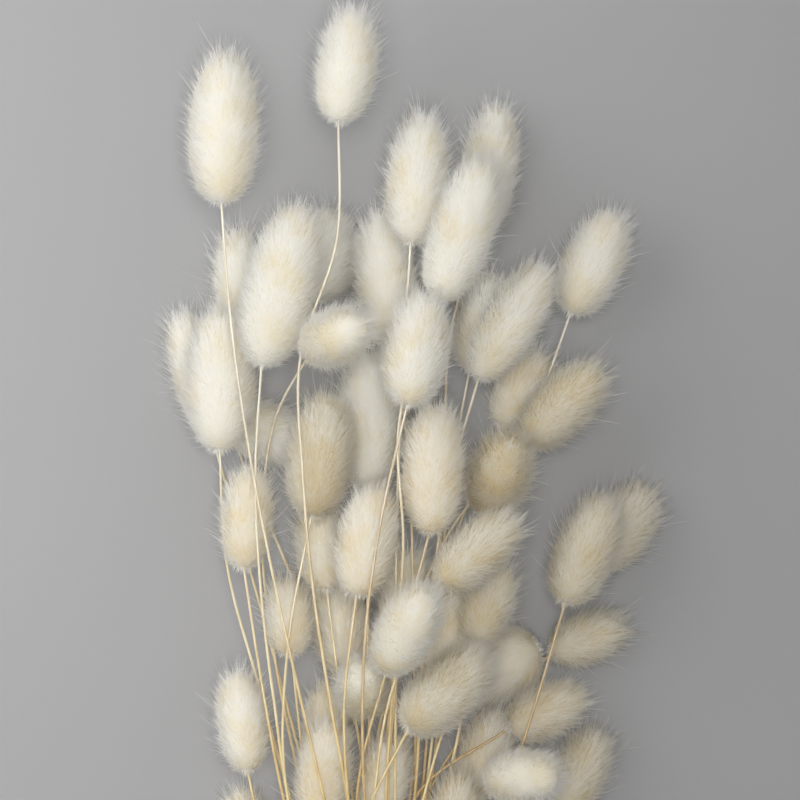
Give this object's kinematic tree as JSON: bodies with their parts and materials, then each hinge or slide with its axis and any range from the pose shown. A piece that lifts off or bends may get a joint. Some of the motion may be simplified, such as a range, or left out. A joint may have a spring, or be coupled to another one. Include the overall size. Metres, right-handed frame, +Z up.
{
  "type": "dried bunny tail grass bunch",
  "caption": "Dried bunch of bunny tail grass, laid down: soft egg-shaped flower heads on thin straw stems that fan out of a neck tied with twine.",
  "frame": {"origin": "on the surface that the bunch lies on, under the middle of its bounding box", "axes": "+Y along the bunch, from the cut stem ends towards the flower heads; +X across it; +Z up from the surface"},
  "size_m": [0.1644, 0.4612, 0.0861],
  "materials": {
    "head": "matte",
    "stem": "satin",
    "tie": "matte"
  },
  "bodies": {
    "root": {"head_01": "head", "head_02": "head", "head_03": "head", "head_04": "head", "head_05": "head", "head_06": "head", "head_07": "head", "head_08": "head", "head_09": "head", "head_10": "head", "head_11": "head", "head_12": "head", "head_13": "head", "head_14": "head", "head_15": "head", "head_16": "head", "head_17": "head", "head_18": "head", "head_19": "head", "head_20": "head", "head_21": "head", "head_22": "head", "head_23": "head", "head_24": "head", "head_25": "head", "head_26": "head", "head_27": "head", "head_28": "head", "head_29": "head", "head_30": "head", "head_31": "head", "head_32": "head", "head_33": "head", "head_34": "head", "head_35": "head", "head_36": "head", "head_37": "head", "head_38": "head", "head_39": "head", "head_40": "head", "head_41": "head", "head_42": "head", "head_43": "head", "head_44": "head", "head_45": "head", "head_46": "head", "head_47": "head", "head_48": "head", "head_49": "head", "stems_01": "stem", "stems_02": "stem", "stems_03": "stem", "stems_04": "stem", "stems_05": "stem", "stems_06": "stem", "stems_07": "stem", "tie": "tie"}
  },
  "joints": []
}
